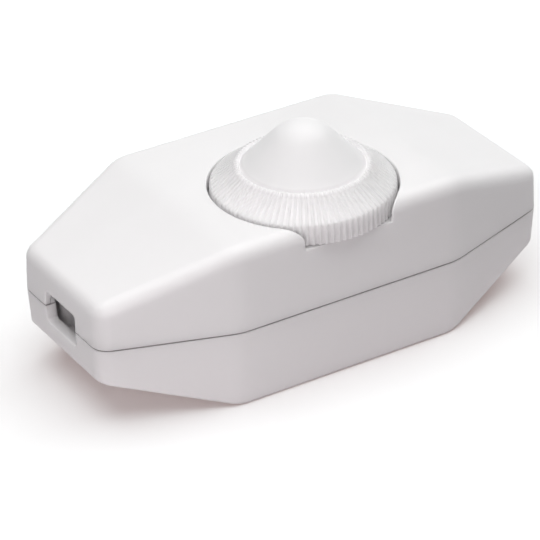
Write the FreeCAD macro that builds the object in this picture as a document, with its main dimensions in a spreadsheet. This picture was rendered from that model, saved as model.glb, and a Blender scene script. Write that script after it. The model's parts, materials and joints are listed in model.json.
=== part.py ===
import FreeCAD, Part
import os
import re
import Sketcher
from FreeCAD import Placement, Rotation, Vector

# In-line rotary cord dimmer: a faceted two-part plastic case with a ribbed knob in a well,
# and the potentiometer, board and terminals that the case holds.
# Frame: underside of the case at z = 0, +X along the case, the knob's side of the case at -Y.

# Driving sizes in millimetres, with angles in degrees
SIZES = {
    # case, its plan measured at the parting line
    "body_length": 90.0,
    "body_width": 42.4,
    "end_width": 26.6,
    "middle_length": 43.8,
    "base_depth": 14.8,
    "base_end_depth": 6.4,
    "cover_height": 15.8,
    "cover_end_height": 7.7,
    "wall": 2.0,
    "base_draft": 3.2,
    "cover_draft": 1.4,
    "corner_radius": 3.2,
    "bend_radius": 10.0,
    "fold_radius": 10.0,
    "crown_radius": 2.6,
    "heel_radius": 0.8,
    "parting_bevel": 0.15,
    "lip_height": 1.2,
    "lip_clearance": 0.1,
    "lip_ledge": 0.1,
    "lip_root": 0.5,
    "seam_gap": 0.25,
    # cord slots, split by the parting line
    "slot_width": 10.4,
    "slot_rise": 3.1,
    "slot_drop": 2.9,
    "slot_corner": 0.9,
    "slot_mouth": 0.25,
    # case screws, put in from below
    "boss_inset": 12.0,
    "boss_edge": 6.2,
    "boss_diameter": 6.0,
    "socket_wall": 1.2,
    "case_screw_diameter": 3.0,
    "case_screw_length": 13.0,
    "case_head_diameter": 5.2,
    "case_head_height": 2.0,
    "screw_land": 6.0,
    "screw_clearance": 0.2,
    "thread_clearance": 0.03,
    "pilot_spare": 0.6,
    # knob and its well
    "knob_offset": 6.3,
    "knob_diameter": 32.4,
    "well_gap": 0.45,
    "well_depth": 3.9,
    "well_edge": 0.25,
    "knob_lift": 0.3,
    "rim_height": 3.9,
    "flank_rise": 3.4,
    "ring_diameter": 23.5,
    "crest_step": 0.25,
    "crest_width": 0.6,
    "groove_width": 0.2,
    "groove_drop": 0.6,
    "dome_slope": 45.8,
    "cap_radius": 7.1,
    "knob_wall": 1.8,
    "rib_count": 90,
    "rib_height": 0.4,
    "rib_width": 0.5,
    "rib_root": 0.3,
    "hub_diameter": 10.0,
    # potentiometer, with the on/off switch under it
    "shaft_diameter": 6.0,
    "shaft_clearance": 0.05,
    "shaft_flat": 1.5,
    "shaft_reach": 8.5,
    "bush_diameter": 7.0,
    "bush_clearance": 0.15,
    "bush_stand": 0.1,
    "bush_flange": 10.0,
    "bush_flange_height": 0.8,
    "pot_headroom": 2.0,
    "pot_diameter": 16.5,
    "pot_height": 7.8,
    "can_wall": 0.5,
    "can_clearance": 0.1,
    "track_thickness": 1.0,
    "track_bore": 7.2,
    "tongue_width": 10.6,
    "tongue_reach": 2.2,
    "carrier_diameter": 12.6,
    "carrier_thickness": 1.8,
    "carrier_lift": 1.4,
    "contact_thickness": 0.3,
    "contact_inset": 0.5,
    "brush_diameter": 1.6,
    "brush_gap": 0.05,
    "switch_height": 7.2,
    "pin_width": 1.2,
    "pin_thickness": 0.4,
    "pin_pitch": 4.0,
    "switch_pin_height": 4.0,
    # board
    "board_thickness": 1.6,
    "board_gap": 0.8,
    "post_diameter": 5.0,
    "post_inset": 3.4,
    "board_screw_diameter": 2.5,
    "board_head_diameter": 4.6,
    "board_head_height": 1.6,
    "part_gap": 1.2,
    # switching device and its heat sink
    "triac_width": 10.2,
    "triac_depth": 4.4,
    "triac_height": 9.0,
    "leg_length": 2.0,
    "leg_width": 0.8,
    "leg_thickness": 0.4,
    "leg_pitch": 2.54,
    "tab_thickness": 1.3,
    "tab_height": 5.2,
    "sink_length": 28.0,
    "sink_thickness": 1.5,
    "sink_foot": 2.5,
    "sink_height": 15.5,
    "sink_screw_diameter": 2.5,
    "sink_head_diameter": 4.6,
    "sink_head_height": 1.4,
    # choke and capacitors
    "choke_diameter": 10.4,
    "choke_height": 12.0,
    "choke_post": 4.4,
    "choke_flange": 1.4,
    "winding_gap": 0.1,
    "winding_inset": 0.8,
    "suppressor_length": 12.0,
    "suppressor_depth": 6.0,
    "suppressor_height": 12.0,
    "timing_length": 2.6,
    "timing_depth": 7.2,
    "timing_height": 7.0,
    "case_round": 0.8,
    # axial parts, which stand on end
    "resistor_diameter": 2.4,
    "resistor_length": 6.2,
    "diode_diameter": 1.8,
    "diode_length": 3.8,
    "lead_diameter": 0.6,
    "lead_pitch": 2.6,
    "axial_pitch": 3.0,
    "axial_lift": 0.4,
    # fuse in clips
    "fuse_length": 20.0,
    "fuse_diameter": 5.2,
    "fuse_cap_length": 5.0,
    "fuse_cap_wall": 0.3,
    "fuse_glass_wall": 0.6,
    "fuse_wire_diameter": 0.3,
    "fuse_fit": 0.05,
    "clip_thickness": 0.45,
    "clip_width": 3.8,
    "clip_rise": 4.2,
    # terminals
    "terminal_width": 10.4,
    "terminal_depth": 7.2,
    "terminal_height": 10.0,
    "terminal_pitch": 5.0,
    "pillar_width": 3.4,
    "pillar_depth": 5.0,
    "pillar_height": 6.0,
    "pillar_clearance": 0.1,
    "wire_bore": 2.4,
    "wire_level": 2.4,
    "terminal_screw_diameter": 2.4,
    "terminal_head_diameter": 3.0,
    "terminal_head_height": 1.6,
    # cord clamps
    "clamp_inset": 6.6,
    "clamp_pillar_diameter": 4.8,
    "clamp_pillar_gap": 0.2,
    "clamp_bar_width": 4.0,
    "clamp_bar_thickness": 2.2,
    "clamp_screw_diameter": 2.5,
    "clamp_screw_length": 8.0,
    "clamp_head_diameter": 4.4,
    "clamp_head_height": 1.6,
    "saddle_thickness": 2.0,
    "saddle_drop": 0.4,
    "ridge_width": 1.0,
    "ridge_length": 6.8,
    "ridge_height": 0.8,
    # slot in the head of every screw
    "slot_drive_width": 0.6,
}

doc = FreeCAD.newDocument("cord_dimmer")
sheet = doc.addObject("Spreadsheet::Sheet", "sizes")
for row, (name, size) in enumerate(SIZES.items(), start=1):
    sheet.set(f"A{row}", name)
    sheet.set(f"B{row}", str(size))
    sheet.setAlias(f"B{row}", name)
doc.recompute()


def minus(text):
    return f"(-1 * {text})"


# Measures that several pieces share, as rules on the sheet's sizes
HALF_LENGTH = "(body_length / 2)"
HALF_MIDDLE = "(middle_length / 2)"
HALF_WIDTH = "(body_width / 2)"
HALF_END = "(end_width / 2)"
PARTING = "base_depth"
TOP = "(base_depth + cover_height)"
PLAN_SLANT = "atan((body_width - end_width) / (body_length - middle_length))"
COVER_SLANT = "atan((cover_height - cover_end_height) / (body_length - middle_length) * 2)"
BASE_SLANT = "atan((base_depth - base_end_depth) / (body_length - middle_length) * 2)"

WELL_RADIUS = "(knob_diameter / 2 + well_gap)"
WELL_FLOOR = f"({TOP} - well_depth)"
KNOB_BASE = f"({WELL_FLOOR} + knob_lift)"
KNOB_Y = minus("knob_offset")

SOCKET_RADIUS = "(case_head_diameter / 2 + screw_clearance + socket_wall)"
BOSS_X = f"({HALF_LENGTH} - boss_inset)"
BOSS_Y = f"({HALF_END} + boss_inset * tan({PLAN_SLANT}) - boss_edge)"
SCREW_SEAT = f"({PARTING} - screw_land)"

POT_BASE = f"({WELL_FLOOR} - wall - pot_headroom - pot_height)"
POT_TOP = f"({POT_BASE} + pot_height)"
BOARD_TOP = f"({POT_BASE} - switch_height)"
BOARD_LEVEL = f"({BOARD_TOP} - board_thickness)"
BOARD_INSET = f"(wall + board_gap + ({PARTING} - {BOARD_LEVEL}) * tan(base_draft))"
BOARD_X = f"({BOSS_X} - {SOCKET_RADIUS} - board_gap)"
BOARD_Y = f"({HALF_WIDTH} - {BOARD_INSET})"
POST_X = f"({HALF_MIDDLE} - post_inset)"
POST_Y = f"({BOARD_Y} - post_inset)"
TERMINAL_X = f"({BOARD_X} - terminal_depth / 2 - part_gap / 2)"

CLAMP_X = f"({HALF_LENGTH} - clamp_inset)"
CLAMP_Y = "(slot_width / 2 + clamp_pillar_gap + clamp_pillar_diameter / 2)"

CLIP_SPAN = "(fuse_diameter + 2 * fuse_fit + 2 * clip_thickness)"
FUSE_X = f"(-1 * (pot_diameter / 2 + part_gap + {CLIP_SPAN} / 2))"
FUSE_Z = f"({BOARD_TOP} + clip_thickness + fuse_fit + fuse_diameter / 2)"
SINK_Y = f"({BOARD_Y} - part_gap / 2 - sink_foot - sink_thickness)"
AXIAL_X = f"({CLIP_SPAN} / 2 - {FUSE_X} + part_gap + resistor_diameter / 2)"
TRIAC_X = f"({FUSE_X} + {CLIP_SPAN} / 2 + part_gap + triac_width / 2)"
TAB_HOLE_Z = f"({BOARD_TOP} + leg_length + triac_height + tab_height / 2)"


def rule(text):
    """Points each size that a rule names at its cell in the sheet."""
    return re.sub(r"[a-z_]+", lambda word: f"sizes.{word[0]}" if word[0] in SIZES else word[0], text)


def value(text):
    """Works out a rule as a plain number."""
    answer = sheet.evalExpression(rule(text))
    return float(getattr(answer, "Value", answer))


def tie(thing, **rules):
    """Binds properties of an object to rules on the sheet's sizes."""
    for name, text in rules.items():
        thing.setExpression(name, rule(text))


def place(thing, x="0", y="0", z="0"):
    """Binds an object's place to rules on the sheet's sizes."""
    for axis, text in zip("xyz", (x, y, z)):
        thing.setExpression(f"Placement.Base.{axis}", rule(text))


def new_body(name):
    body = doc.addObject("PartDesign::Body", name)
    body.Label = name
    return body


def sketch_on(body, plane, name, level="0"):
    """An empty sketch on one of the body's own origin planes, lifted along its normal."""
    sketch = body.newObject("Sketcher::SketchObject", name)
    support = next(part for part in body.Origin.OriginFeatures if part.Role == plane)
    sketch.AttachmentSupport = (support, [""])
    sketch.MapMode = "FlatFace"
    sketch.setExpression("AttachmentOffset.Base.z", rule(level))
    doc.recompute()
    return sketch


def pin_point(sketch, element, corner, x, y):
    """Ties one point of a sketch to rules for its coordinates."""
    for kind, text in (("DistanceX", x), ("DistanceY", y)):
        if text is not None:
            number = sketch.addConstraint(Sketcher.Constraint(kind, -1, 1, element, corner, value(text)))
            sketch.setExpression(f"Constraints[{number}]", rule(text))


def arc_ends(sketch, element, start):
    """Which of an arc's two ends is its start in the outline, and which its end."""
    if (sketch.getPoint(element, 1) - start).Length < (sketch.getPoint(element, 2) - start).Length:
        return 1, 2
    return 2, 1


def draw_outline(sketch, corners):
    """Adds a closed outline; a third entry in a corner is the centre of an arc to the next corner."""
    first = sketch.GeometryCount
    spots = [Vector(value(corner[0]), value(corner[1]), 0) for corner in corners]
    count = len(corners)
    for i, corner in enumerate(corners):
        start, end = spots[i], spots[(i + 1) % count]
        if len(corner) == 2:
            sketch.addGeometry(Part.LineSegment(start, end))
        else:
            centre = Vector(value(corner[2][0]), value(corner[2][1]), 0)
            swing = (start - centre).normalize() + (end - centre).normalize()
            middle = centre + swing.normalize() * (start - centre).Length
            sketch.addGeometry(Part.Arc(start, middle, end))
    ends = [(1, 2) if len(corner) == 2 else arc_ends(sketch, first + i, spots[i])
            for i, corner in enumerate(corners)]
    for i, corner in enumerate(corners):
        here, after = i, (i + 1) % count
        joint = Sketcher.Constraint("Coincident", first + here, ends[here][1], first + after, ends[after][0])
        sketch.addConstraint(joint)
        pin_point(sketch, first + i, ends[i][0], corner[0], corner[1])
        if len(corner) == 3:
            pin_point(sketch, first + i, 3, corner[2][0], None)


def draw_circle(sketch, x, y, radius):
    circle = Part.Circle(Vector(value(x), value(y), 0), Vector(0, 0, 1), value(radius))
    element = sketch.addGeometry(circle)
    pin_point(sketch, element, 3, x, y)
    number = sketch.addConstraint(Sketcher.Constraint("Radius", element, value(radius)))
    sketch.setExpression(f"Constraints[{number}]", rule(radius))


def draw_box(sketch, x_low, y_low, x_high, y_high):
    draw_outline(sketch, [(x_low, y_low), (x_high, y_low), (x_high, y_high), (x_low, y_high)])


def extrude(body, kind, sketch, length, name, up, both, taper):
    """A Pad or Pocket of a sketch, along the sketch's normal or against it."""
    before = body.Shape.Volume if body.Tip else 0.0
    feature = body.newObject(f"PartDesign::{kind}", name)
    feature.Profile = sketch
    tie(feature, Length=length)
    feature.Reversed = up if kind == "Pocket" else not up
    feature.SideType = "Symmetric" if both else "One side"
    if taper:
        tie(feature, TaperAngle=taper)
    doc.recompute()
    change = body.Shape.Volume - before
    if change * (-1 if kind == "Pocket" else 1) < 1e-6:
        raise RuntimeError(f"{name} changes its body's volume by {change:.3f}")
    return feature


def pad(body, sketch, length, name, up=True, both=False, taper=None):
    return extrude(body, "Pad", sketch, length, name, up, both, taper)


def pocket(body, sketch, length, name, up=True, both=False):
    return extrude(body, "Pocket", sketch, length, name, up, both, None)


def face_normal(face):
    u_low, u_high, v_low, v_high = face.ParameterRange
    return face.normalAt((u_low + u_high) / 2, (v_low + v_high) / 2)


def seams(feature, test):
    """Names of the edges whose two faces' outward normals pass a test."""
    names = []
    faces = [(face_normal(face), face.Edges) for face in feature.Shape.Faces]
    for number, edge in enumerate(feature.Shape.Edges, start=1):
        sides = [normal for normal, around in faces if any(edge.isSame(other) for other in around)]
        if len(sides) == 2 and test(*sides):
            names.append(f"Edge{number}")
    return names


def edges_at(feature, test):
    """Names of the edges whose middle point passes a test."""
    names = []
    for number, edge in enumerate(feature.Shape.Edges, start=1):
        if test(edge.valueAt((edge.FirstParameter + edge.LastParameter) / 2)):
            names.append(f"Edge{number}")
    return names


def dress(body, kind, names, name, **rules):
    """A Fillet or Chamfer on named edges of the body's last feature."""
    last = body.Tip
    feature = body.newObject(f"PartDesign::{kind}", name)
    feature.Base = (last, names)
    tie(feature, **rules)
    doc.recompute()
    return feature


WALL_LEAN = 0.3
DECK_LEAN = 0.8
CORNER_TURN = 0.7
STRAIGHT = 0.995
NEARNESS = 0.02


def is_wall(normal):
    return abs(normal.z) < WALL_LEAN


def is_deck(normal):
    return abs(normal.z) > DECK_LEAN


def is_bend(a, b):
    """Whether two faces meet at a slight turn, neither straight on nor at a corner."""
    return CORNER_TURN < a.dot(b) < STRAIGHT


def near(number, text):
    return abs(number - value(text)) < NEARNESS


# Case: each half is a drafted blank, less a core that leaves the walls, bosses and posts

def plan_octagon(inset="0"):
    """Corners of the case's plan at the parting line, each wall moved in by the inset."""
    x_end = f"({HALF_LENGTH} - {inset})"
    y_end = f"({HALF_END} - {inset} * tan(45 deg - {PLAN_SLANT} / 2))"
    x_bend = f"({HALF_MIDDLE} - {inset} * tan({PLAN_SLANT} / 2))"
    y_side = f"({HALF_WIDTH} - {inset})"
    right = [(x_end, minus(y_end)), (x_end, y_end), (x_bend, y_side)]
    left = [(minus(x_bend), y_side), (minus(x_end), y_end), (minus(x_end), minus(y_end))]
    return right + left + [(minus(x_bend), minus(y_side)), (x_bend, minus(y_side))]


def case_blank(body, inset, draft, slant, upward):
    """One half of the case as a solid: drafted walls, with the sloped deck at each end cut off."""
    height = "cover_height" if upward else "base_depth"
    sign = "" if upward else "-1 * "
    plan = sketch_on(body, "XY_Plane", f"{body.Name}_plan", PARTING)
    draw_outline(plan, plan_octagon(inset))
    pad(body, plan, f"{height} - {inset}", f"{body.Name}_pad", up=upward, taper=minus(draft))
    wedge = sketch_on(body, "XZ_Plane", f"{body.Name}_wedge")
    x_fold = f"({HALF_MIDDLE} - {inset} * tan({slant} / 2))"
    x_far = "body_length"
    z_deck = f"({PARTING} + {sign}({height} - {inset}))"
    z_far = f"({z_deck} - {sign}({x_far} - {x_fold}) * tan({slant}))"
    z_clear = f"({PARTING} + {sign}{height} * 2)"
    draw_outline(wedge, [(x_fold, z_deck), (x_far, z_far), (x_far, z_clear), (x_fold, z_clear)])
    draw_outline(wedge, [(minus(x_fold), z_deck), (minus(x_far), z_far),
                         (minus(x_far), z_clear), (minus(x_fold), z_clear)])
    pocket(body, wedge, "body_width * 2", f"{body.Name}_slopes", both=True)


def round_case(body, edge_radius):
    """Rounds a half's bends, folds and corners, then its deck's edge, and bevels its parting edge."""
    bends = seams(body.Tip, lambda a, b: is_wall(a) and is_wall(b) and is_bend(a, b))
    dress(body, "Fillet", bends, f"{body.Name}_bends", Radius="bend_radius")
    folds = seams(body.Tip, lambda a, b: is_deck(a) and is_deck(b) and is_bend(a, b))
    dress(body, "Fillet", folds, f"{body.Name}_folds", Radius="fold_radius")
    corners = seams(body.Tip, lambda a, b: is_wall(a) and is_wall(b) and a.dot(b) < CORNER_TURN)
    dress(body, "Fillet", corners, f"{body.Name}_corners", Radius="corner_radius")
    rims = seams(body.Tip, lambda a, b: is_wall(a) != is_wall(b) and is_deck(a) != is_deck(b))
    deck = [rim for rim in rims if not near(body.Shape.getElement(rim).CenterOfMass.z, PARTING)]
    dress(body, "Fillet", deck, f"{body.Name}_deck_edge", Radius=edge_radius)
    parting = edges_at(body.Tip, lambda middle: near(middle.z, PARTING))
    dress(body, "Chamfer", parting, f"{body.Name}_bevel", Size="parting_bevel")


def diagonal(x, y):
    """The two opposite spots of a diagonal pair."""
    return [(x, minus(y)), (minus(x), y)]


def four(x, y):
    return [(x, y), (minus(x), y), (minus(x), minus(y)), (x, minus(y))]


def circles(body, name, level, spots, radius):
    sketch = sketch_on(body, "XY_Plane", name, level)
    for x, y in spots:
        draw_circle(sketch, x, y, radius)
    return sketch


def cut_with(body, core):
    """Takes a core's solid out of a body."""
    feature = body.newObject("PartDesign::Boolean", f"{core.Name}_cut")
    feature.Type = "Cut"
    feature.setObjects([core])
    doc.recompute()


def cord_slots(body, z_low, z_high, corner_level):
    """The half of the cord slots in one shell, through both of its end walls."""
    sketch = sketch_on(body, "YZ_Plane", f"{body.Name}_slot")
    draw_box(sketch, minus("slot_width / 2"), z_low, "slot_width / 2", z_high)
    pocket(body, sketch, "body_length * 2", f"{body.Name}_slots", both=True)
    corners = edges_at(body.Tip, lambda middle: near(abs(middle.y), "slot_width / 2")
                       and near(middle.z, corner_level) and not near(middle.x, "0"))
    dress(body, "Fillet", corners, f"{body.Name}_slot_corners", Radius="slot_corner")
    mouths = edges_at(body.Tip, lambda middle: abs(middle.x) > value(f"{HALF_LENGTH} - wall / 2")
                      and abs(middle.y) < value("slot_width / 2") - NEARNESS
                      and near(middle.z, corner_level))
    dress(body, "Fillet", mouths, f"{body.Name}_slot_mouths", Radius="slot_mouth")


def make_upper_shell():
    core = new_body("upper_core")
    case_blank(core, "wall", "cover_draft", COVER_SLANT, upward=True)
    well = circles(core, "well_surround", f"{WELL_FLOOR} - wall", [("0", KNOB_Y)], f"{WELL_RADIUS} + wall")
    pocket(core, well, "cover_height", "well_surround_cut")
    bosses = circles(core, "upper_bosses", PARTING, diagonal(BOSS_X, BOSS_Y), "boss_diameter / 2")
    pocket(core, bosses, "cover_height", "upper_boss_cut")

    shell = new_body("upper_shell")
    case_blank(shell, "0", "cover_draft", COVER_SLANT, upward=True)
    round_case(shell, "crown_radius")
    cut_with(shell, core)
    rebate = sketch_on(shell, "XY_Plane", "lip_rebate", PARTING)
    draw_outline(rebate, plan_octagon("wall / 2"))
    draw_outline(rebate, plan_octagon("(wall + lip_clearance)"))
    pocket(shell, rebate, "lip_height + lip_clearance", "lip_rebate_cut")
    seam = sketch_on(shell, "XY_Plane", "seam", PARTING)
    draw_outline(seam, plan_octagon(minus("wall")))
    draw_outline(seam, plan_octagon("(wall / 2 + lip_clearance)"))
    pocket(shell, seam, "seam_gap", "seam_cut")
    knob_well = circles(shell, "knob_well", WELL_FLOOR, [("0", KNOB_Y)], WELL_RADIUS)
    pocket(shell, knob_well, "cover_height", "knob_well_cut")
    rim = edges_at(shell.Tip, lambda middle: near(middle.z, TOP)
                   and near((middle - Vector(0, value(KNOB_Y), middle.z)).Length, WELL_RADIUS))
    dress(shell, "Fillet", rim, "well_edge_rounding", Radius="well_edge")
    bush_hole = circles(shell, "bush_hole", f"{WELL_FLOOR} - wall * 2", [("0", KNOB_Y)],
                        "bush_diameter / 2 + bush_clearance")
    pocket(shell, bush_hole, "wall * 3", "bush_hole_cut")
    pilots = circles(shell, "upper_pilots", PARTING, diagonal(BOSS_X, BOSS_Y),
                     "case_screw_diameter / 2 + thread_clearance")
    pocket(shell, pilots, "case_screw_length - screw_land + pilot_spare", "upper_pilot_cut")
    cord_slots(shell, f"{PARTING} - slot_drop", f"{PARTING} + slot_rise", f"{PARTING} + slot_rise")
    return shell


def make_lower_shell():
    core = new_body("lower_core")
    case_blank(core, "wall", "base_draft", BASE_SLANT, upward=False)
    sockets = circles(core, "screw_sockets", "0", diagonal(BOSS_X, BOSS_Y), SOCKET_RADIUS)
    pocket(core, sockets, "base_depth * 2", "screw_socket_cut")
    posts = circles(core, "board_posts", "0", four(POST_X, POST_Y), "post_diameter / 2")
    pocket(core, posts, BOARD_LEVEL, "board_post_cut")
    pillars = circles(core, "clamp_pillars", "0", four(CLAMP_X, CLAMP_Y), "clamp_pillar_diameter / 2")
    pocket(core, pillars, "base_depth * 2", "clamp_pillar_cut")
    saddles = sketch_on(core, "XY_Plane", "cord_saddles")
    for side in (CLAMP_X, minus(CLAMP_X)):
        draw_box(saddles, f"{side} - saddle_thickness / 2", minus(CLAMP_Y),
                 f"{side} + saddle_thickness / 2", CLAMP_Y)
    pocket(core, saddles, f"{PARTING} - slot_drop - saddle_drop", "cord_saddle_cut")

    shell = new_body("lower_shell")
    case_blank(shell, "0", "base_draft", BASE_SLANT, upward=False)
    round_case(shell, "heel_radius")
    cut_with(shell, core)
    lip = sketch_on(shell, "XY_Plane", "lip", f"{PARTING} - lip_root")
    draw_outline(lip, plan_octagon("(wall / 2 + lip_clearance)"))
    draw_outline(lip, plan_octagon("(wall - lip_ledge)"))
    pad(shell, lip, "lip_height + lip_root", "lip_pad")
    heads = circles(shell, "head_sockets", minus("base_depth"), diagonal(BOSS_X, BOSS_Y),
                    "case_head_diameter / 2 + screw_clearance")
    pocket(shell, heads, f"base_depth + {SCREW_SEAT}", "head_socket_cut")
    passes = circles(shell, "screw_passes", "0", diagonal(BOSS_X, BOSS_Y),
                     "case_screw_diameter / 2 + screw_clearance")
    pocket(shell, passes, "base_depth * 2", "screw_pass_cut")
    board_pilots = circles(shell, "board_pilots", BOARD_LEVEL, diagonal(POST_X, minus(POST_Y)),
                           "board_screw_diameter / 2 + thread_clearance")
    pocket(shell, board_pilots, f"{BOARD_LEVEL} - wall", "board_pilot_cut", up=False)
    clamp_pilots = circles(shell, "clamp_pilots", PARTING, four(CLAMP_X, CLAMP_Y),
                           "clamp_screw_diameter / 2 + thread_clearance")
    pocket(shell, clamp_pilots, "clamp_screw_length - clamp_bar_thickness + pilot_spare",
           "clamp_pilot_cut", up=False)
    cord_slots(shell, f"{PARTING} - slot_drop", f"{PARTING} + slot_rise", f"{PARTING} - slot_drop")
    return shell


# Knob: one moulding, turned about its own axis, with ribs up its rim and flank

def make_knob():
    knob = new_body("dimmer_knob")
    radius = "(knob_diameter / 2)"
    ring = "(ring_diameter / 2)"
    flank = f"atan(flank_rise / ({radius} - {ring}))"
    root = f"({radius} - rib_height)"
    crest = "(rim_height + flank_rise + crest_step)"
    dome_foot = f"({ring} - crest_width - groove_width)"
    dome_base = f"({crest} - groove_drop)"
    cap_foot = "(cap_radius * sin(dome_slope))"
    cap_base = f"({dome_base} + ({dome_foot} - {cap_foot}) * tan(dome_slope))"
    cap_centre = f"({cap_base} - cap_radius * cos(dome_slope))"
    bore = "(shaft_diameter / 2 + shaft_clearance)"
    bore_top = "(shaft_reach + knob_lift)"
    inside = f"({root} - knob_wall)"

    def under_flank(x, depth):
        """Height of the line that runs a depth below the ribs' flank."""
        return f"(rim_height + ({radius} - {x}) * tan({flank}) - {depth} / cos({flank}))"

    profile = sketch_on(knob, "XZ_Plane", "knob_profile")
    draw_outline(profile, [
        (root, "0"),
        (root, under_flank(root, "rib_height")),
        (ring, under_flank(ring, "rib_height")),
        (ring, crest),
        (f"({ring} - crest_width)", crest),
        (dome_foot, dome_base),
        (cap_foot, cap_base, ("0", cap_centre)),
        ("0", f"({cap_centre} + cap_radius)"),
        ("0", bore_top),
        (bore, bore_top),
        (bore, "0"),
        ("(hub_diameter / 2)", "0"),
        ("(hub_diameter / 2)", under_flank("hub_diameter / 2", "(rib_height + knob_wall)")),
        (inside, under_flank(inside, "(rib_height + knob_wall)")),
        (inside, "0"),
    ])
    turned = knob.newObject("PartDesign::Revolution", "knob_turned")
    turned.Profile = profile
    turned.ReferenceAxis = (profile, ["V_Axis"])
    turned.Angle = 360
    doc.recompute()

    flat = sketch_on(knob, "XY_Plane", "shaft_flat_key")
    draw_box(flat, "shaft_diameter / 2 - shaft_flat + shaft_clearance", minus("shaft_diameter / 2"),
             f"{bore} + rib_root", "shaft_diameter / 2")
    pad(knob, flat, bore_top, "shaft_flat_pad")

    rib = sketch_on(knob, "XZ_Plane", "rib")
    rib_top = f"({ring} - rib_root / 2)"
    rib_foot = f"({root} - rib_root)"
    draw_outline(rib, [
        (radius, "0"),
        (radius, "rim_height"),
        (rib_top, under_flank(rib_top, "0")),
        (rib_top, under_flank(rib_top, "(rib_height + rib_root)")),
        (rib_foot, under_flank(rib_foot, "(rib_height + rib_root)")),
        (rib_foot, "0"),
    ])
    one_rib = pad(knob, rib, "rib_width", "rib_pad", both=True)
    ribs = knob.newObject("PartDesign::PolarPattern", "ribs")
    ribs.Originals = [one_rib]
    axis = next(part for part in knob.Origin.OriginFeatures if part.Role == "Z_Axis")
    ribs.Axis = (axis, [""])
    ribs.Angle = 360
    tie(ribs, Occurrences="rib_count")
    knob.Tip = ribs
    place(knob, y=KNOB_Y, z=KNOB_BASE)
    doc.recompute()
    return knob


# Fastenings and circuit pieces: simple solids in their places

ALONG_X = Rotation(Vector(0, 1, 0), 90)
ALONG_Y = Rotation(Vector(1, 0, 0), -90)
HALF_TURN = Rotation(Vector(0, 0, 1), 180)


def block(name, x, y, z, length, width, height):
    """A box that stands on a level, centred on x and y."""
    box = doc.addObject("Part::Box", name)
    tie(box, Length=length, Width=width, Height=height)
    place(box, f"{x} - ({length}) / 2", f"{y} - ({width}) / 2", z)
    return box


def rod(name, x, y, z, radius, height, turn=None):
    """A cylinder from a point, along +Z unless it is turned."""
    cylinder = doc.addObject("Part::Cylinder", name)
    if turn:
        cylinder.Placement = Placement(Vector(), turn)
    tie(cylinder, Radius=radius, Height=height)
    place(cylinder, x, y, z)
    return cylinder


def join(name, pieces):
    whole = doc.addObject("Part::MultiFuse", name)
    whole.Shapes = pieces
    whole.Refine = True
    return whole


def less(name, base, tools):
    """A solid with one or more other solids taken out of it."""
    rest = doc.addObject("Part::Cut", name)
    rest.Base = base
    rest.Tool = tools[0] if len(tools) == 1 else join(f"{name}_tools", tools)
    rest.Refine = True
    return rest


def group(name, pieces):
    """Like solids that share one node."""
    compound = doc.addObject("Part::Compound", name)
    compound.Links = pieces
    return compound


def screw(name, x, y, seat, sizes, length, upward=False):
    """A pan-head screw with a slot, its head's underside on the seat."""
    shank_low = seat if upward else f"({seat} - {length})"
    head_low = f"({seat} - {sizes}_head_height)" if upward else seat
    slot_low = head_low if upward else f"({head_low} + {sizes}_head_height / 2)"
    shank = rod(f"{name}_shank", x, y, shank_low, f"{sizes}_screw_diameter / 2", length)
    head = rod(f"{name}_head", x, y, head_low, f"{sizes}_head_diameter / 2", f"{sizes}_head_height")
    slot = block(f"{name}_slot", x, y, slot_low, f"{sizes}_head_diameter * 2", "slot_drive_width",
                 f"{sizes}_head_height / 2")
    return less(name, join(f"{name}_blank", [head, shank]), [slot])


def screws(name, spots, seat, sizes, length, upward=False):
    return group(name, [screw(f"{name}_{i}", x, y, seat, sizes, length, upward)
                        for i, (x, y) in enumerate(spots, start=1)])


def make_circuit_board():
    board = new_body("circuit_board")
    x_bend = f"({HALF_MIDDLE} - {BOARD_INSET} * tan({PLAN_SLANT} / 2))"
    y_slant = f"({BOARD_X} - {HALF_MIDDLE}) * tan({PLAN_SLANT})"
    y_end = f"({HALF_WIDTH} - {y_slant} - {BOARD_INSET} / cos({PLAN_SLANT}))"
    outline = sketch_on(board, "XY_Plane", "board_outline", BOARD_LEVEL)
    draw_outline(outline, [
        (BOARD_X, minus(y_end)), (BOARD_X, y_end), (x_bend, BOARD_Y), (minus(x_bend), BOARD_Y),
        (minus(BOARD_X), y_end), (minus(BOARD_X), minus(y_end)), (minus(x_bend), minus(BOARD_Y)),
        (x_bend, minus(BOARD_Y)),
    ])
    pad(board, outline, "board_thickness", "board_pad")
    holes = circles(board, "board_holes", BOARD_LEVEL, diagonal(POST_X, minus(POST_Y)),
                    "board_screw_diameter / 2 + screw_clearance")
    pocket(board, holes, "board_thickness * 2", "board_hole_cut")
    return board


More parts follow.
